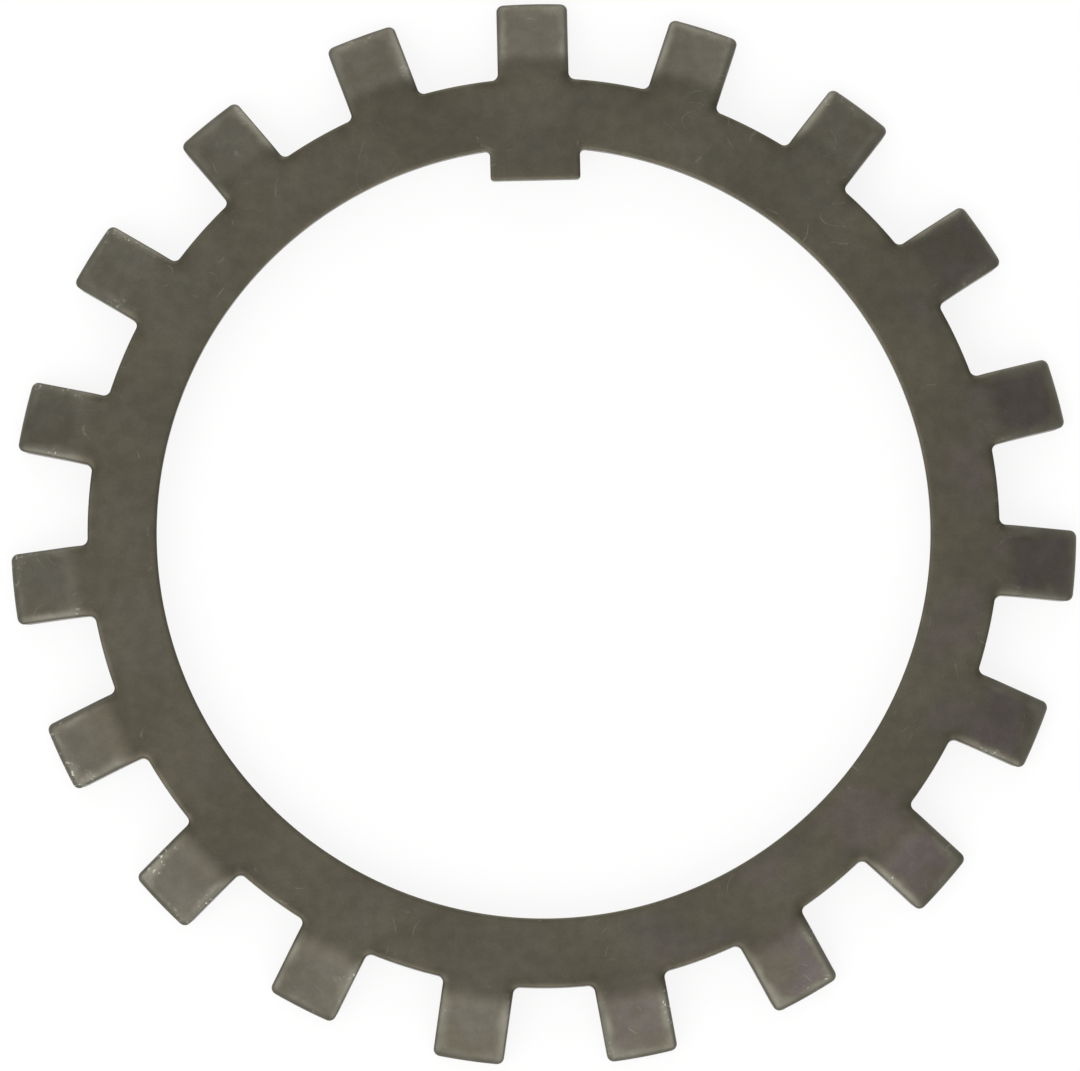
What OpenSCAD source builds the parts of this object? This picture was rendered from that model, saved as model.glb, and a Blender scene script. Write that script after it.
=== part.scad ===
// Bearing lock washer: a flat steel ring, blanked with locking tabs round the outside
// and one key tang in the bore, its tabs then folded towards the locknut.
// Millimetres. The bore axis is Z, the bearing side faces +Z, the tang lies along +Y,
// and Z = 0 is the face that the nut bears on.

/* [Ring] */
// Diameter of the bore, which slides over the shaft's thread
bore_d = 85; // [60:0.5:95]
// Outside diameter of the flat ring, between the tabs
ring_d = 100.2; // [98:0.2:103]
// Thickness of the sheet
thickness = 1.8; // [1:0.1:2.4]

/* [Locking tabs] */
// How many tabs stand round the ring
tab_count = 19; // [15, 19, 21]
// Width of a tab
tab_w = 7.8; // [7.2:0.1:9]
// Diameter over the tips of the folded tabs
tip_d = 117.4; // [112:0.2:126]
// How far the tabs are folded down out of the flat
fold_angle = 25; // [20:1:30]
// Inside radius of the fold
fold_r = 4.2; // [1.5:0.1:6]
// Radius in the corners where a tab meets the ring
root_r = 0.75; // [0.3:0.05:1.2]
// Radius of a tab's two outer corners
tip_r = 0.8; // [0.3:0.05:1.5]

/* [Key tang] */
// Width of the tang, which slides in the shaft's keyway
tang_w = 9.9; // [6:0.1:14]
// How far the tang reaches in from the bore's wall
tang_depth = 3.6; // [2:0.1:5]
// Radius in the corners where the tang meets the bore
tang_root_r = 0.5; // [0.2:0.05:0.8]
// Radius of the tang's two inner corners
tang_tip_r = 0.4; // [0.2:0.05:0.8]

/* [Rolled edge] */
// Width of the rounding that blanking leaves along the upper edges
roll_w = 0.7; // [0.4:0.05:0.9]
// How far that rounding falls by the time it meets the wall
roll_d = 0.14; // [0.1:0.02:0.3]

/* [Hidden] */
$fn = 96;
// An arc is drawn this much over its radius, so that it crosses a wall where it would only graze it
graze = 0.003;
// A cut runs past the metal by this much
spare = 2;
bore_r = bore_d / 2;
ring_r = ring_d / 2;
tip_reach = tip_d / 2;
half_tab = tab_w / 2;
half_tang = tang_w / 2;
pitch = 360 / tab_count;
first_tab = 90;

// The fold starts where the root corners end, so those corners stay in the flat
root_y = half_tab + root_r;
fold_x = sqrt(pow(ring_r + root_r, 2) - pow(root_y, 2));
root_ray = atan2(root_y, fold_x);

// The fold turns about a line under the ring, and the leg runs on from it to the tip
outer_fold_r = fold_r + thickness;
leg_length = (tip_reach - fold_x) / cos(fold_angle) - outer_fold_r * tan(fold_angle);
fold_length = (fold_r + thickness / 2) * fold_angle * PI / 180;
// The tip was cut on the flat blank's outer circle
blank_r = fold_x + fold_length + leg_length;
tip_y = half_tab - tip_r;
tip_x = sqrt(pow(blank_r - tip_r, 2) - pow(tip_y, 2));
tip_ray = atan2(tip_y, tip_x);
form_depth = tip_reach / 2;

// The tang's end, and the centres of its root corners in the bore beside it
tang_end = bore_r - tang_depth;
tang_root_x = half_tang + tang_root_r;
tang_root_y = sqrt(pow(bore_r - tang_root_r, 2) - pow(tang_root_x, 2));
tang_ray = atan2(tang_root_y, tang_root_x);

// The roll is an arc that leaves the upper face smoothly and meets the wall at an angle
roll_arc = (pow(roll_w, 2) + pow(roll_d, 2)) / (2 * roll_d);
// How far the roll's cutter starts outside the wall
roll_clear = 0.2;

function along(angle, distance) = distance * [cos(angle), sin(angle)];

function turned(p, angle) = [p.x * cos(angle) - p.y * sin(angle), p.x * sin(angle) + p.y * cos(angle)];

module at_each_tab(turn) {
    for (i = [0 : tab_count - 1])
        rotate([0, 0, first_tab + (i + turn) * pitch])
            children();
}

// What a corner loses when it is rounded: the wedge between two directions, outside the arc
module corner_waste(radius, from, to) {
    reach = 2 * radius;
    difference() {
        polygon([[0, 0], along(from, reach), along((from + to) / 2, reach), along(to, reach)]);
        circle(radius + graze);
    }
}

// Side view of the space above a folded face, which turns at this radius about the fold's line
module above_fold(radius) {
    leg = along(90 - fold_angle, radius);
    run = tip_reach - ring_r + 2 * spare;
    end = leg + along(-fold_angle, run / cos(fold_angle));
    difference() {
        polygon([[0, 0], [0, radius + spare], [end.x, radius + spare], end, leg]);
        circle(radius + graze);
    }
}

// A press tool's form: flat in the middle, and falling away under each tab
module form(radius, margin) {
    difference() {
        translate([0, 0, -form_depth - margin])
            cylinder(r = tip_reach + margin, h = form_depth + margin + radius - fold_r);
        at_each_tab(0)
            translate([fold_x, 0, -fold_r])
                rotate([90, 0, 0])
                    linear_extrude(tab_w + spare, center = true)
                        above_fold(radius);
    }
}

// The gap between two tabs, rounded where it meets the ring
module tab_gap() {
    near = turned([ring_r - spare, half_tab], -pitch / 2);
    far = turned([tip_reach + 2 * spare, half_tab], -pitch / 2);
    centre = turned([fold_x, root_y], -pitch / 2);
    difference() {
        polygon([near, far, [far.x, -far.y], [near.x, -near.y]]);
        circle(ring_r);
        for (side = [0, 1])
            mirror([0, side])
                translate(centre)
                    corner_waste(root_r, root_ray + 180 - pitch / 2, 270 - pitch / 2);
    }
}

// What lies beyond a tab's tip on the blank: all outside the blank's circle, and its two corners
module tip_waste() {
    wide = tab_w + 2 * spare;
    difference() {
        translate([blank_r - spare, -wide / 2])
            square([3 * spare, wide]);
        circle(blank_r);
    }
    for (side = [-1, 1])
        translate([tip_x, side * tip_y])
            corner_waste(tip_r, side * 90, side * tip_ray);
}

// The bore's outline, with the tang standing in it
module bore_outline() {
    difference() {
        circle(bore_r);
        difference() {
            translate([-half_tang, tang_end])
                square([tang_w, tang_depth + spare]);
            for (side = [-1, 1])
                translate([side * (half_tang - tang_tip_r), tang_end + tang_tip_r])
                    corner_waste(tang_tip_r, -90, side > 0 ? 0 : -180);
        }
        for (side = [-1, 1])
            translate([side * tang_root_x, tang_root_y])
                corner_waste(tang_root_r, side > 0 ? tang_ray : 180 - tang_ray, side > 0 ? 180 : 0);
    }
}

// A cut through the whole height of the form
module through() {
    translate([0, 0, -form_depth - 2 * spare])
        linear_extrude(form_depth + 4 * spare)
            children();
}

// The blanked and folded washer with its edges still sharp
module sharp_washer() {
    difference() {
        form(outer_fold_r, spare);
        form(fold_r, 2 * spare);
        through()
            bore_outline();
        at_each_tab(0.5)
            through()
                tab_gap();
        at_each_tab(0)
            translate([fold_x, 0, -fold_r])
                rotate([0, fold_angle, 0])
                    translate([-fold_x - fold_length, 0, fold_r - form_depth])
                        linear_extrude(form_depth + thickness + spare)
                            tip_waste();
    }
}

// What the roll takes off an upper edge, in section: the wall is at x = 0 and the metal on its right
module roll_waste() {
    difference() {
        translate([-roll_clear, -roll_arc])
            square([roll_w + roll_clear, roll_arc + spare]);
        translate([roll_w, -roll_arc])
            circle(roll_arc + graze);
    }
}

// The roll along a straight edge that runs along +X, with the metal on its right
module straight_roll(length) {
    rotate([90, 0, 90])
        linear_extrude(length)
            mirror([1, 0])
                roll_waste();
}

// The roll round a corner in which the metal lies outside the arc
module corner_roll(radius) {
    rotate_extrude()
        translate([radius + 2 * graze, thickness])
            roll_waste();
}

// The ring's outer edge between two tabs
module gap_roll() {
    arc = pitch - 2 * root_ray;
    rotate_extrude(angle = arc, start = -arc / 2)
        translate([ring_r, thickness])
            mirror([1, 0])
                roll_waste();
}

// The two corners where that edge runs into the tabs beside it
module root_rolls() {
    for (side = [-1, 1])
        rotate([0, 0, side * (pitch / 2 - root_ray)])
            translate([ring_r + root_r, 0])
                corner_roll(root_r);
}

// A tab's two sides, through the fold
module fold_rolls() {
    for (side = [0, 1])
        mirror([0, side, 0])
            translate([fold_x, 0, -fold_r])
                rotate(-120, [1, 1, 1])
                    rotate_extrude(angle = fold_angle, start = 0)
                        translate([outer_fold_r + graze, half_tab + graze])
                            rotate(-90)
                                roll_waste();
}

// A tab's two sides beyond the fold
module leg_rolls() {
    for (side = [0, 1])
        mirror([0, side, 0])
            translate([fold_x, 0, -fold_r])
                rotate([0, fold_angle, 0])
                    translate([-roll_w, half_tab, outer_fold_r])
                        straight_roll(leg_length + 2 * roll_w);
}

// A tab's tip
module tip_roll() {
    sweep = asin((half_tab + roll_clear) / blank_r);
    translate([fold_x, 0, -fold_r])
        rotate([0, fold_angle, 0])
            translate([-fold_x - fold_length, 0, outer_fold_r])
                rotate_extrude(angle = 2 * sweep, start = -sweep)
                    translate([blank_r, 0])
                        mirror([1, 0])
                            roll_waste();
}

// The bore's edge, from one side of the tang round to the other
module bore_roll() {
    rotate_extrude(angle = 180 + 2 * tang_ray, start = 180 - tang_ray)
        translate([bore_r, thickness])
            roll_waste();
}

module tang_root_rolls() {
    for (side = [-1, 1])
        translate([side * tang_root_x, tang_root_y])
            corner_roll(tang_root_r);
}

module tang_side_rolls() {
    for (side = [0, 1])
        mirror([side, 0, 0])
            translate([half_tang, tang_root_y, thickness])
                rotate([0, 0, -90])
                    straight_roll(tang_root_y - tang_end + roll_clear);
}

module tang_end_roll() {
    translate([half_tang + roll_clear, tang_end, thickness])
        rotate([0, 0, 180])
            straight_roll(tang_w + 2 * roll_clear);
}

module lock_washer() {
    color("#58544a")
    difference() {
        sharp_washer();
        bore_roll();
        tang_root_rolls();
        tang_side_rolls();
        tang_end_roll();
        at_each_tab(0.5)
            gap_roll();
        at_each_tab(0.5)
            root_rolls();
        at_each_tab(0)
            fold_rolls();
        at_each_tab(0)
            leg_rolls();
        at_each_tab(0)
            tip_roll();
    }
}

lock_washer();
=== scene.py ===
import math

import bmesh
import bpy
import numpy as np
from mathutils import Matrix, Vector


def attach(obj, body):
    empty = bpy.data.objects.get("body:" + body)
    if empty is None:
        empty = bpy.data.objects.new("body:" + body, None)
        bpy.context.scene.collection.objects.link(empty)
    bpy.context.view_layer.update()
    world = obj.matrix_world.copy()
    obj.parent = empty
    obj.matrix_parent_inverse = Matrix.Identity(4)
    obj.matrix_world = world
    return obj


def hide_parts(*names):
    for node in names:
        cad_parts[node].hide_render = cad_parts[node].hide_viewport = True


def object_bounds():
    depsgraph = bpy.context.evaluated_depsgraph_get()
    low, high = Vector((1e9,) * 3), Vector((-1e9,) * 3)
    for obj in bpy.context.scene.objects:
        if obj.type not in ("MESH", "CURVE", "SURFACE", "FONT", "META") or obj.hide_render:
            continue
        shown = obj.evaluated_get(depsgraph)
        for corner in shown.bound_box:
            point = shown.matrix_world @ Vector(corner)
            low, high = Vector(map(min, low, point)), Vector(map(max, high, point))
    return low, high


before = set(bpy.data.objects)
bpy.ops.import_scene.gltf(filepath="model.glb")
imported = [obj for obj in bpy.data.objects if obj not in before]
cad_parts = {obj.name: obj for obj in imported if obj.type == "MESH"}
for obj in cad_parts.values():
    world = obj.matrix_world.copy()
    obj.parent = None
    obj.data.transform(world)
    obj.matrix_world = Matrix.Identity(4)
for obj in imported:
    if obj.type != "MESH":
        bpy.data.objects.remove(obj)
cad_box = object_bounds()

# Lock washer
# One blanking of hard strip steel: a flat ring with nineteen tabs round it and one key tang in the bore.
# The press rolled its upper edges over and folded the tabs down; it was then darkened and oiled.

MM = 0.001
BORE_R = 42.5
RING_R = 50.1
THICKNESS = 1.8
TAB_COUNT = 19
HALF_TAB = 3.9
TIP_REACH = 58.7
FOLD_ANGLE = math.radians(25)
FOLD_R = 4.2
ROOT_R = 0.75
TIP_R = 0.8
HALF_TANG = 4.95
TANG_END = 38.9
TANG_ROOT_R = 0.5
TANG_TIP_R = 0.4
PITCH = 2 * math.pi / TAB_COUNT
FIRST_TAB = math.pi / 2

# The fold starts where the root corners end, and the blank's outer circle leaves the tips at their reach.
ROOT_Q = HALF_TAB + ROOT_R
FOLD_X = math.sqrt((RING_R + ROOT_R) ** 2 - ROOT_Q ** 2)
ROOT_RAY = math.atan2(ROOT_Q, FOLD_X)
FOLD_LENGTH = (FOLD_R + THICKNESS / 2) * FOLD_ANGLE
LEG = (TIP_REACH - FOLD_X) / math.cos(FOLD_ANGLE) - (FOLD_R + THICKNESS) * math.tan(FOLD_ANGLE)
BLANK_R = FOLD_X + FOLD_LENGTH + LEG
TIP_Q = HALF_TAB - TIP_R
TIP_X = math.sqrt((BLANK_R - TIP_R) ** 2 - TIP_Q ** 2)
TIP_RAY = math.atan2(TIP_Q, TIP_X)
TANG_ROOT_Q = HALF_TANG + TANG_ROOT_R
TANG_ROOT_X = math.sqrt((BORE_R - TANG_ROOT_R) ** 2 - TANG_ROOT_Q ** 2)
TANG_RAY = math.atan2(TANG_ROOT_Q, TANG_ROOT_X)

# How far in from each edge the roll starts, and how far it falls for each unit of that. The lower edges are
# broken by the burr's width.
ROLL_TAB = 1.0
ROLL_RING = 0.6
ROLL_BORE = 0.55
ROLL_TANG = 0.5
ROLL_FALL = 0.36
BURR = 0.06

# Steps along each stretch of the outline, across the roll, and across the ring.
TIP_STEPS = 6
CORNER_STEPS = 6
LEG_STEPS = 6
FOLD_STEPS = 12
ROOT_STEPS = 7
ARC_STEPS = 8
ROLL_STEPS = 9
RING_ROWS = 10


def arc(centre, radius, start, end, steps):
    """A circular arc of complex points x + iq, without its last."""
    return centre + radius * np.exp(1j * np.linspace(start, end, steps, endpoint=False))


def straight(start, end, steps):
    """A straight run of complex points, without its last."""
    return np.linspace(start, end, steps, endpoint=False)


def mirrored(stretches):
    """Joins stretches into half an outline, and puts its mirror image in the tab's middle line before it."""
    half = np.concatenate(stretches)
    return np.concatenate([np.conj(half[:0:-1]), half])


# One pitch of the blank's outer edge, from the middle of one gap to the middle of the next, and beside each
# point the place on the flat face where the roll to it starts. A corner's roll starts from one point.
FOLD_END = FOLD_X + FOLD_LENGTH
INNER_Q = HALF_TAB - ROLL_TAB
INNER_X = math.sqrt((BLANK_R - ROLL_TAB) ** 2 - INNER_Q ** 2)
INNER_RAY = math.atan2(INNER_Q, INNER_X)
gap_middle = np.exp(0.5j * PITCH)
root_centre = FOLD_X + 1j * ROOT_Q
root_roll = np.linspace(ROLL_TAB, ROLL_RING, ROOT_STEPS, endpoint=False)
tab_edge = mirrored([
    arc(0, BLANK_R, 0, INNER_RAY, TIP_STEPS),
    arc(0, BLANK_R, INNER_RAY, TIP_RAY, 1),
    arc(TIP_X + 1j * TIP_Q, TIP_R, TIP_RAY, math.pi / 2, CORNER_STEPS),
    straight(TIP_X + 1j * HALF_TAB, INNER_X + 1j * HALF_TAB, 1),
    straight(INNER_X + 1j * HALF_TAB, FOLD_END + 1j * HALF_TAB, LEG_STEPS),
    straight(FOLD_END + 1j * HALF_TAB, FOLD_X + 1j * HALF_TAB, FOLD_STEPS),
    arc(root_centre, ROOT_R, -math.pi / 2, ROOT_RAY - math.pi, ROOT_STEPS),
    arc(0, RING_R, ROOT_RAY, PITCH / 2, ARC_STEPS),
    [RING_R * gap_middle],
])
tab_inner = mirrored([
    arc(0, BLANK_R - ROLL_TAB, 0, INNER_RAY, TIP_STEPS),
    np.full(CORNER_STEPS + 2, INNER_X + 1j * INNER_Q),
    straight(INNER_X + 1j * INNER_Q, FOLD_END + 1j * INNER_Q, LEG_STEPS),
    straight(FOLD_END + 1j * INNER_Q, FOLD_X + 1j * INNER_Q, FOLD_STEPS),
    arc(root_centre, ROOT_R + root_roll, -math.pi / 2, ROOT_RAY - math.pi, ROOT_STEPS),
    arc(0, RING_R - ROLL_RING, ROOT_RAY, PITCH / 2, ARC_STEPS),
    [(RING_R - ROLL_RING) * gap_middle],
])

# The inner edge of the pitch that has the tang: the tang's end, corner, side and root, then the bore.
TANG_TIP_Q = HALF_TANG - TANG_TIP_R
TANG_INNER_Q = HALF_TANG - ROLL_TANG
TANG_INNER_X = TANG_END + ROLL_TANG
tang_centre = TANG_ROOT_X + 1j * TANG_ROOT_Q
tang_roll = np.linspace(ROLL_TANG, ROLL_BORE, ROOT_STEPS, endpoint=False)
tang_edge = mirrored([
    straight(TANG_END, TANG_END + 1j * TANG_INNER_Q, TIP_STEPS),
    straight(TANG_END + 1j * TANG_INNER_Q, TANG_END + 1j * TANG_TIP_Q, 1),
    arc(TANG_END + TANG_TIP_R + 1j * TANG_TIP_Q, TANG_TIP_R, math.pi, math.pi / 2, CORNER_STEPS),
    straight(TANG_END + TANG_TIP_R + 1j * HALF_TANG, TANG_INNER_X + 1j * HALF_TANG, 1),
    straight(TANG_INNER_X + 1j * HALF_TANG, TANG_ROOT_X + 1j * HALF_TANG, LEG_STEPS),
    arc(tang_centre, TANG_ROOT_R, -math.pi / 2, TANG_RAY, ROOT_STEPS),
    arc(0, BORE_R, TANG_RAY, PITCH / 2, ARC_STEPS),
    [BORE_R * gap_middle],
])
tang_inner = mirrored([
    straight(TANG_INNER_X, TANG_INNER_X + 1j * TANG_INNER_Q, TIP_STEPS),
    np.full(CORNER_STEPS + 2, TANG_INNER_X + 1j * TANG_INNER_Q),
    straight(TANG_INNER_X + 1j * TANG_INNER_Q, TANG_ROOT_X + 1j * TANG_INNER_Q, LEG_STEPS),
    arc(tang_centre, TANG_ROOT_R + tang_roll, -math.pi / 2, TANG_RAY, ROOT_STEPS),
    arc(0, BORE_R + ROLL_BORE, TANG_RAY, PITCH / 2, ARC_STEPS),
    [(BORE_R + ROLL_BORE) * gap_middle],
])

# On a tab and on the tang the face is square rows along its length, ending at the tip's roll.
tip_start = len(tab_inner) // 2 - TIP_STEPS
tip_line = tab_inner[tip_start:tip_start + 2 * TIP_STEPS + 1]
tab_rows = np.concatenate([straight(FOLD_X, FOLD_END, FOLD_STEPS), straight(FOLD_END, INNER_X, LEG_STEPS)])
tab_face = np.concatenate([tab_rows[:, None] + 1j * tip_line.imag, tip_line[None]])
tang_rows = np.linspace(TANG_INNER_X, TANG_ROOT_X, LEG_STEPS + 1)
tang_face = tang_rows[:, None] + 1j * TANG_INNER_Q * np.linspace(-1, 1, 2 * TIP_STEPS + 1)

# On the ring the face ends at the roll of the gaps and root corners, and runs straight across a tab's foot.
ring_side = ROOT_STEPS + ARC_STEPS
ring_line = np.concatenate([tab_inner[:ring_side], tab_face[0], tab_inner[-ring_side:]])
tang_line = np.concatenate([tang_inner[:ring_side], tang_face[-1], tang_inner[-ring_side:]])
bore_edge = BORE_R * ring_line / abs(ring_line)
bore_inner = (BORE_R + ROLL_BORE) * ring_line / abs(ring_line)


def ruled(inner, outer, rows):
    """The flat face between two lines of as many points: straight rules, cut into even rows."""
    return inner + (outer - inner) * np.linspace(0, 1, rows + 1)[:, None]


def edge_band(edge, inner):
    """The metal's edge carried along an outline: from the upper face the roll falls as a quarter of an
    ellipse, flat at its start and upright at the wall; then come the wall and a broken lower edge."""
    reach = abs(edge - inner)[:, None]
    out = (edge - inner)[:, None] / reach
    nominal = np.minimum(reach, ROLL_TAB)
    lean = np.linspace(0, math.pi / 2, ROLL_STEPS + 1)
    roll = reach * np.sin(lean)
    fall = ROLL_FALL * nominal * (1 - np.cos(lean))
    wall = [THICKNESS / 2, BURR]
    outward = np.concatenate([roll, reach.repeat(2, 1), reach - BURR, 0 * reach], 1)
    height = np.concatenate([THICKNESS - fall, 0 * reach + wall, 0 * reach, 0 * reach], 1)
    return inner[:, None] + out * outward, height


def folded(flat, height):
    """Bends the blank's outer part down about a line under the ring: up to the fold nothing moves, along
    the fold the sheet turns about that line and its middle keeps its length, and beyond it runs on straight.
    It gives the place, the height and the share of the fold."""
    along = np.clip(flat.real - FOLD_X, 0, FOLD_LENGTH)
    beyond = np.clip(flat.real - FOLD_X - FOLD_LENGTH, 0, None)
    turn = along / FOLD_LENGTH * FOLD_ANGLE
    lever = FOLD_R + height
    bent = flat.real > FOLD_X
    x = np.where(bent, FOLD_X + lever * np.sin(turn) + beyond * np.cos(turn), flat.real)
    z = np.where(bent, lever * np.cos(turn) - FOLD_R - beyond * np.sin(turn), height)
    return x + 1j * flat.imag, z, turn / FOLD_ANGLE


# How far the painted shade in a root corner spreads over the faces round it.
ROOT_SHADE_SPREAD = 2.4
verts = []
blank = []
marks = []
quads = []


def lay(flat, height, spins, edges):
    """Adds one grid of the blank, folded and turned to each of the given angles, with its quads.
    Each point keeps its place on the blank, its distance from the nearest edge, its share of the fold,
    and how near it is to a root corner."""
    height = np.broadcast_to(height, flat.shape)
    place, z, turn = folded(flat, height)
    depth = abs(flat[..., None] - edges).min(-1)
    root = np.exp(-(abs(flat.real + 1j * abs(flat.imag) - root_centre) / ROOT_SHADE_SPREAD) ** 2)
    spin = np.exp(1j * spins)[:, None, None]
    turned = place * spin
    sheet = flat * spin
    shape = turned.shape
    first = sum(len(v) for v in verts)
    verts.append(np.stack([turned.real, turned.imag, np.broadcast_to(z, shape)], -1).reshape(-1, 3))
    blank.append(np.stack([sheet.real, sheet.imag, np.broadcast_to(height, shape)], -1).reshape(-1, 3))
    marks.append(np.stack([np.broadcast_to(m, shape) for m in (depth, turn, root)], -1).reshape(-1, 3))
    number = first + np.arange(turned.size).reshape(shape)
    corners = [number[:, :-1, :-1], number[:, 1:, :-1], number[:, 1:, 1:], number[:, :-1, 1:]]
    quads.append(np.stack(corners, -1).reshape(-1, 4))


every = FIRST_TAB + PITCH * np.arange(TAB_COUNT)
with_tang = every[:1]
without_tang = every[1:]
plain_edges = np.concatenate([tab_edge, bore_edge])
tang_edges = np.concatenate([tab_edge, tang_edge])
lay(*edge_band(tab_edge, tab_inner), every, plain_edges)
lay(*edge_band(tang_edge, tang_inner), with_tang, tang_edges)
lay(*edge_band(bore_edge, bore_inner), without_tang, plain_edges)
for level in (0, THICKNESS):
    lay(tab_face, level, every, plain_edges)
    lay(tang_face, level, with_tang, tang_edges)
    lay(ruled(tang_line, ring_line, RING_ROWS), level, with_tang, tang_edges)
    lay(ruled(bore_inner, ring_line, RING_ROWS), level, without_tang, plain_edges)

# The grids are joined where they meet, and an edge sharper than the crease angle shows as a line.
JOIN_GAP = 0.002
CREASE = math.radians(40)
mesh = bpy.data.meshes.new("lock_washer_steel")
mesh.from_pydata(np.concatenate(verts) * MM, [], np.concatenate(quads))
sheet_place = mesh.attributes.new("blank", "FLOAT_VECTOR", "POINT")
sheet_place.data.foreach_set("vector", np.concatenate(blank).ravel())
for column, name in enumerate(("depth", "turn", "root")):
    values = np.ascontiguousarray(np.concatenate(marks)[:, column])
    mesh.attributes.new(name, "FLOAT", "POINT").data.foreach_set("value", values)
built = bmesh.new()
built.from_mesh(mesh)
bmesh.ops.remove_doubles(built, verts=built.verts, dist=JOIN_GAP * MM)
bmesh.ops.dissolve_degenerate(built, edges=built.edges, dist=JOIN_GAP / 2 * MM)
bmesh.ops.recalc_face_normals(built, faces=built.faces)
built.to_mesh(mesh)
built.free()
mesh.shade_smooth()
mesh.set_sharp_from_angle(angle=CREASE)
washer = bpy.data.objects.new("lock_washer_steel", mesh)
bpy.context.scene.collection.objects.link(washer)


def hexcolour(text):
    """An sRGB hex value as a linear colour with alpha."""
    srgb = np.array([int(text[i:i + 2], 16) for i in (1, 3, 5)]) / 255
    linear = np.where(srgb <= 0.04045, srgb / 12.92, ((srgb + 0.055) / 1.055) ** 2.4)
    return (*linear.tolist(), 1.0)


def add(tree, kind, settings=None, output=0, **inputs):
    """Adds a node with its settings, fills its inputs with values or with other nodes' outputs, and gives
    back one output. An input goes by its name, with _ for a space, or by its number, as in i0."""
    node = tree.nodes.new(kind)
    for name, value in (settings or {}).items():
        setattr(node, name, value)
    for name, value in inputs.items():
        key = int(name[1:]) if name[1:].isdigit() else name.replace("_", " ")
        if isinstance(value, bpy.types.NodeSocket):
            tree.links.new(value, node.inputs[key])
        else:
            node.inputs[key].default_value = value
    return node.outputs[output] if node.outputs else None


# Oiled dark steel: satin, olive-brown near its edges and a little violet where the oil film lies thick.
# Every pattern lies on the flat blank, in millimetres, so it runs on through the folds.
steel = bpy.data.materials.new("oiled_dark_steel")
steel.use_nodes = True
tree = steel.node_tree
tree.nodes.clear()
NOISE = "ShaderNodeTexNoise"
RANGE = "ShaderNodeMapRange"
MATHS = "ShaderNodeMath"
MIX = "ShaderNodeMix"
SMOOTH = {"interpolation_type": "SMOOTHSTEP"}
TIMES = {"operation": "MULTIPLY"}
PLUS = {"operation": "ADD"}
TIMES_PLUS = {"operation": "MULTIPLY_ADD"}
LARGER = {"operation": "MAXIMUM"}
ALONG = {"operation": "DOT_PRODUCT"}
COLOURS = {"data_type": "RGBA"}
# Where a mix node gives its colour
MIXED = 2
place = add(tree, "ShaderNodeAttribute", {"attribute_name": "blank"}, "Vector")
depth = add(tree, "ShaderNodeAttribute", {"attribute_name": "depth"}, "Fac")
turn = add(tree, "ShaderNodeAttribute", {"attribute_name": "turn"}, "Fac")
root = add(tree, "ShaderNodeAttribute", {"attribute_name": "root"}, "Fac")

# The oil film lies in patches on the ring and over the open middle of each tab, and is thickest on the tabs
# at the near right. It fades between two lines along the edges, which an uneven depth makes wander.
FILM_PATCH = 9
TAB_PATCH = 5
UNEVEN = 3
UNEVEN_SWING = 2
EDGE_LINE = 1.3
FILM_LINE = 2.7
NEAR_RIGHT = (0.9, -0.44, 0)
THIN_SIDE = 10
THICK_SIDE = 45
uneven = add(tree, NOISE, Vector=place, Scale=1 / UNEVEN)
inside = add(tree, MATHS, TIMES_PLUS, i0=uneven, i1=UNEVEN_SWING, i2=depth)
ring_film = add(tree, NOISE, Vector=place, Scale=1 / FILM_PATCH, Detail=3.0)
ring_film = add(tree, RANGE, SMOOTH, Value=ring_film, From_Min=0.42, From_Max=0.6, To_Max=0.65)
tab_film = add(tree, NOISE, Vector=place, Scale=1 / TAB_PATCH)
tab_film = add(tree, RANGE, SMOOTH, Value=tab_film, From_Min=0.3, From_Max=0.55, To_Max=turn)
film = add(tree, MATHS, LARGER, i0=ring_film, i1=tab_film)
film = add(tree, RANGE, SMOOTH, Value=inside, From_Min=EDGE_LINE, From_Max=FILM_LINE, To_Max=film)
thick = add(tree, "ShaderNodeVectorMath", ALONG, "Value", i0=place, i1=NEAR_RIGHT)
thick = add(tree, RANGE, SMOOTH, Value=thick, From_Min=THIN_SIDE, From_Max=THICK_SIDE)
tint = add(tree, MIX, COLOURS, MIXED, i0=thick, i6=hexcolour("#5a574e"), i7=hexcolour("#5c5552"))
colour = add(tree, MIX, COLOURS, MIXED, i0=film, i6=hexcolour("#5a564a"), i7=tint)

# The darkened skin is clouded: wide clouds, small ones, and grain.
WIDE_CLOUD = 10
SMALL_CLOUD = 1.6
GRAIN = 0.3
wide = add(tree, NOISE, Vector=place, Scale=1 / WIDE_CLOUD)
wide = add(tree, RANGE, SMOOTH, Value=wide, From_Min=0.3, From_Max=0.7, To_Min=0.9, To_Max=1.1)
small = add(tree, NOISE, Vector=place, Scale=1 / SMALL_CLOUD, Detail=4.0)
small = add(tree, RANGE, SMOOTH, Value=small, From_Min=0.3, From_Max=0.7, To_Min=0.93, To_Max=1.07)
grain = add(tree, NOISE, Vector=place, Scale=1 / GRAIN, Detail=3.0)
fine = add(tree, RANGE, SMOOTH, Value=grain, From_Min=0.3, From_Max=0.7, To_Min=0.96, To_Max=1.04)
cloud = add(tree, MATHS, TIMES, i0=wide, i1=small)
cloud = add(tree, MATHS, TIMES, i0=cloud, i1=fine)
colour = add(tree, MIX, {**COLOURS, "blend_type": "MULTIPLY"}, MIXED, i0=1.0, i6=colour, i7=cloud)
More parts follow.
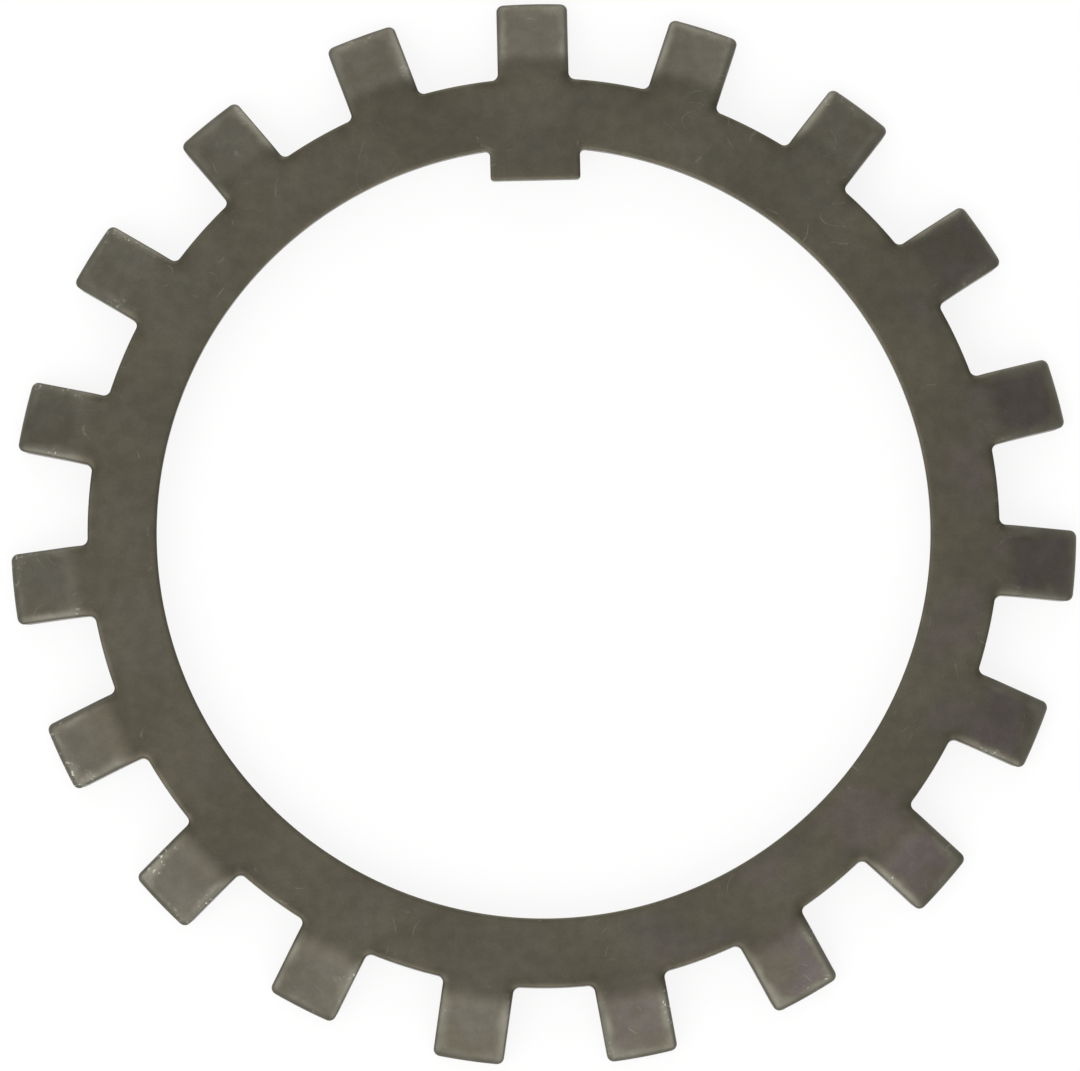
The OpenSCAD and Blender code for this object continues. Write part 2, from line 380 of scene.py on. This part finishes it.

# Painted shade darkens the root corners in patches.
ROOT_SHADE_SPOT = 2
root_shade = add(tree, NOISE, Vector=place, Scale=1 / ROOT_SHADE_SPOT)
root_shade = add(tree, RANGE, SMOOTH, Value=root_shade, From_Min=0.3, From_Max=0.65, To_Min=0.05, To_Max=0.5)
root_shade = add(tree, RANGE, SMOOTH, Value=root, From_Min=0.15, From_Max=1.0, To_Max=root_shade)
colour = add(tree, MIX, COLOURS, MIXED, i0=root_shade, i6=colour, i7=hexcolour("#3a372d"))

# Handling has rubbed the tabs' rolled edges smoother. Their paler tone is partly that wear and partly a
# painted highlight along the edges.
RUB_PATCH = 4
RUB_LINE = 2.5
rub_and_highlight = add(tree, NOISE, Vector=place, Scale=1 / RUB_PATCH)
rub_and_highlight = add(tree, RANGE, SMOOTH, Value=rub_and_highlight, From_Min=0.3, From_Max=0.6, To_Min=0.5, To_Max=1.0)
rub_and_highlight = add(tree, MATHS, TIMES, i0=rub_and_highlight, i1=turn)
rub_and_highlight = add(tree, RANGE, SMOOTH, Value=inside, From_Min=RUB_LINE, From_Max=EDGE_LINE, To_Max=rub_and_highlight)
colour = add(tree, MIX, COLOURS, MIXED, i0=rub_and_highlight, i6=colour, i7=hexcolour("#6f6c62"))

# Here and there the rubbing has bared a fleck, and the near-white flecks are also painted glints. They are
# placed mostly on the side that faces the near left, towards the lamps, which is painted light.
FLECK = 0.4
FLECK_PATCH = 5
NEAR_LEFT = (-0.7, -0.7, 0)
FEW_SIDE = -45
MANY_SIDE = 25
lit_side = add(tree, "ShaderNodeVectorMath", ALONG, "Value", i0=place, i1=NEAR_LEFT)
lit_side = add(tree, RANGE, SMOOTH, Value=lit_side, From_Min=FEW_SIDE, From_Max=MANY_SIDE, To_Min=0.25, To_Max=1.0)
bared_and_glint = add(tree, NOISE, Vector=place, Scale=1 / FLECK_PATCH)
bared_and_glint = add(tree, RANGE, SMOOTH, Value=bared_and_glint, From_Min=0.5, From_Max=0.62, To_Max=lit_side)
bared_and_glint = add(tree, MATHS, TIMES, i0=bared_and_glint, i1=rub_and_highlight)
fleck_and_glint = add(tree, NOISE, Vector=place, Scale=1 / FLECK, Detail=3.0)
fleck_and_glint = add(tree, RANGE, SMOOTH, Value=fleck_and_glint, From_Min=0.58, From_Max=0.68, To_Max=bared_and_glint)
colour = add(tree, MIX, COLOURS, MIXED, i0=fleck_and_glint, i6=colour, i7=hexcolour("#b2afa3"))

# The sheared wall below the roll is paler than the faces, with upright streaks. This is partly bare sheared
# metal and partly a painted highlight where the wall catches the light. The punch burnished its upper part,
# and below a wavy line the metal broke off dull.
STREAK = 0.5
STREAK_SHAPE = (1, 1, 0.12)
BREAK_LOW = 0.88
BREAK_HIGH = 1.12
BREAK_WAVE = 3
BREAK_SWING = 1.6
NOISE_MIDDLE = 0.5
WALL_DEPTH = 0.05
drawn_out = add(tree, "ShaderNodeVectorMath", TIMES, i0=place, i1=STREAK_SHAPE)
streak = add(tree, NOISE, Vector=drawn_out, Scale=1 / STREAK, Detail=3.0)
streak = add(tree, RANGE, SMOOTH, Value=streak, From_Min=0.3, From_Max=0.7, To_Min=0.35, To_Max=0.85)
wave = add(tree, NOISE, Vector=drawn_out, Scale=1 / BREAK_WAVE, Detail=3.0)
wave = add(tree, MATHS, {"operation": "SUBTRACT"}, i0=wave, i1=NOISE_MIDDLE)
height = add(tree, "ShaderNodeSeparateXYZ", None, "Z", Vector=place)
height = add(tree, MATHS, TIMES_PLUS, i0=wave, i1=BREAK_SWING, i2=height)
burnished = add(tree, RANGE, SMOOTH, Value=height, From_Min=BREAK_LOW, From_Max=BREAK_HIGH)
bare_wall_and_sheen = add(tree, MIX, COLOURS, MIXED, i0=burnished, i6=hexcolour("#716e63"), i7=hexcolour("#95928a"))
wall = add(tree, RANGE, SMOOTH, Value=depth, From_Min=WALL_DEPTH, From_Max=0.0, To_Max=streak)
colour = add(tree, MIX, COLOURS, MIXED, i0=wall, i6=colour, i7=bare_wall_and_sheen)

# Hairline scratches are level lines of a soft noise, broken up and mostly hidden. Their width and the step
# between two lines are in the noise's own range of 0 to 1.
SCRATCH_SWEEP = 11
SCRATCH_PATCH = 6
SCRATCH_BREAK = 1.2
SCRATCH_WIDTH = 0.003
SCRATCH_STEP = 0.03
contour = add(tree, NOISE, Vector=place, Scale=1 / SCRATCH_SWEEP, Detail=1.0)
contour = add(tree, MATHS, {"operation": "PINGPONG"}, i0=contour, i1=SCRATCH_STEP)
broken = add(tree, NOISE, Vector=place, Scale=1 / SCRATCH_BREAK)
broken = add(tree, RANGE, SMOOTH, Value=broken, From_Min=0.5, From_Max=0.66, To_Max=0.4)
shown = add(tree, NOISE, Vector=place, Scale=1 / SCRATCH_PATCH)
shown = add(tree, RANGE, SMOOTH, Value=shown, From_Min=0.5, From_Max=0.6, To_Max=broken)
scratch = add(tree, RANGE, SMOOTH, Value=contour, From_Min=SCRATCH_WIDTH, From_Max=0.0, To_Max=shown)
colour = add(tree, MIX, COLOURS, MIXED, i0=scratch, i6=colour, i7=hexcolour("#8a8679"))

# What is rubbed is smoother and a little dented, and the grain stands a few thousandths high. A dent is some
# grains deep.
SATIN = 0.44
POLISHED = 0.28
DENT = 0.7
DENT_GRAINS = 5
RELIEF = 0.006
polish = add(tree, MATHS, PLUS, i0=fleck_and_glint, i1=scratch)
polish = add(tree, MATHS, PLUS, i0=polish, i1=rub_and_highlight)
roughness = add(tree, RANGE, SMOOTH, Value=polish, From_Max=2.0, To_Min=SATIN, To_Max=POLISHED)
dent = add(tree, NOISE, Vector=place, Scale=1 / DENT)
dent = add(tree, MATHS, TIMES, i0=dent, i1=rub_and_highlight)
relief = add(tree, MATHS, TIMES_PLUS, i0=dent, i1=DENT_GRAINS, i2=grain)
normal = add(tree, "ShaderNodeBump", Height=relief, Strength=0.5, Distance=RELIEF * MM)
shader = add(tree, "ShaderNodeBsdfPrincipled", Base_Color=colour, Metallic=1.0, Roughness=roughness,
             Normal=normal)
add(tree, "ShaderNodeOutputMaterial", Surface=shader)
mesh.materials.append(steel)

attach(washer, "root")
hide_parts("lock_washer")

# Floor
# A plain white laminate table top, on which the washer lies with its tab tips. To the eye and in the steel it
# shines by itself, so that it stays white, and the rest of it takes the shadow.

FLOOR_HALF = 1.5
SHINE = 0.85
floor_z = cad_box[0][2]
corners = [(x * FLOOR_HALF, y * FLOOR_HALF, floor_z) for x, y in ((-1, -1), (1, -1), (1, 1), (-1, 1))]
floor_mesh = bpy.data.meshes.new("white_table")
floor_mesh.from_pydata(corners, [], [(0, 1, 2, 3)])
floor = bpy.data.objects.new("white_table", floor_mesh)
bpy.context.scene.collection.objects.link(floor)
white = bpy.data.materials.new("white_laminate")
white.use_nodes = True
tree = white.node_tree
tree.nodes.clear()
seen = add(tree, "ShaderNodeLightPath", None, "Is Camera Ray")
for kind in ("Is Glossy Ray", "Is Transmission Ray"):
    seen = add(tree, MATHS, LARGER, i0=seen, i1=add(tree, "ShaderNodeLightPath", None, kind))
plain = add(tree, "ShaderNodeBsdfDiffuse", Color=hexcolour("#f2f2f0"))
shine = add(tree, "ShaderNodeEmission", Color=hexcolour("#ffffff"), Strength=seen)
surface = add(tree, "ShaderNodeMixShader", i0=SHINE, i1=plain, i2=shine)
add(tree, "ShaderNodeOutputMaterial", Surface=surface)
floor_mesh.materials.append(white)

# Studio light
# A pale room with two large soft boxes at the left and the near side, weaker ones behind and above, and none
# at the right.

scene = bpy.context.scene
scene.view_settings.view_transform = "Standard"
ROOM = 0.6
world = bpy.data.worlds.new("pale_room")
world.use_nodes = True
world.node_tree.nodes["Background"].inputs["Color"].default_value = hexcolour("#ffffff")
world.node_tree.nodes["Background"].inputs["Strength"].default_value = ROOM
scene.world = world


def soft_box(name, azimuth, elevation, distance, size, watts):
    """A square area lamp in that direction from the washer, in degrees and metres, turned to face it."""
    lamp = bpy.data.lights.new(name, "AREA")
    lamp.shape = "SQUARE"
    lamp.size = size
    lamp.energy = watts
    box = bpy.data.objects.new(name, lamp)
    around = math.radians(azimuth)
    rise = math.radians(elevation)
    flat = distance * math.cos(rise)
    box.location = (flat * math.cos(around), flat * math.sin(around), distance * math.sin(rise))
    box.rotation_euler = (math.pi / 2 - rise, 0, around + math.pi / 2)
    scene.collection.objects.link(box)


soft_box("soft_box_left", azimuth=213, elevation=47, distance=0.8, size=0.7, watts=2.7)
soft_box("soft_box_near", azimuth=287, elevation=42, distance=0.8, size=0.7, watts=2.4)
soft_box("soft_box_behind", azimuth=89, elevation=26, distance=0.8, size=0.65, watts=1.9)
soft_box("soft_box_behind_left", azimuth=137, elevation=33, distance=0.8, size=0.5, watts=0.5)
soft_box("soft_box_above", azimuth=90, elevation=88, distance=1.0, size=0.5, watts=0.34)

# Camera
# A long lens high above the washer, leaning a little towards the near side, as the photo was taken.

IMAGE_W = 1080
IMAGE_H = 1071
MM_PER_PIXEL = 0.10983
# The pixel that shows the middle of the bore, on the washer's upper face.
BORE_PIXEL = (543.6, 532.1)
RISE = math.radians(85.6)
TURN = math.radians(1.3)
LENS = 1000.0
SENSOR = 36.0
FAR_CLIP = 20
pixel = MM_PER_PIXEL * MM
distance = LENS * IMAGE_W * pixel / SENSOR
camera_data = bpy.data.cameras.new("camera")
camera_data.lens = LENS
camera_data.sensor_width = SENSOR
camera_data.clip_end = FAR_CLIP
camera = bpy.data.objects.new("camera", camera_data)
right = np.array([math.cos(TURN), -math.sin(TURN), 0])
ahead = np.array([math.sin(TURN), math.cos(TURN), 0])
zenith = np.array([0, 0, 1])
up = ahead * math.sin(RISE) + zenith * math.cos(RISE)
back = zenith * math.sin(RISE) - ahead * math.cos(RISE)
aim = zenith * THICKNESS * MM
aim = aim - right * (BORE_PIXEL[0] - IMAGE_W / 2) * pixel
aim = aim + up * (BORE_PIXEL[1] - IMAGE_H / 2) * pixel
camera.location = aim + back * distance
camera.rotation_euler = (math.pi / 2 - RISE, 0, -TURN)
scene.collection.objects.link(camera)
scene.camera = camera
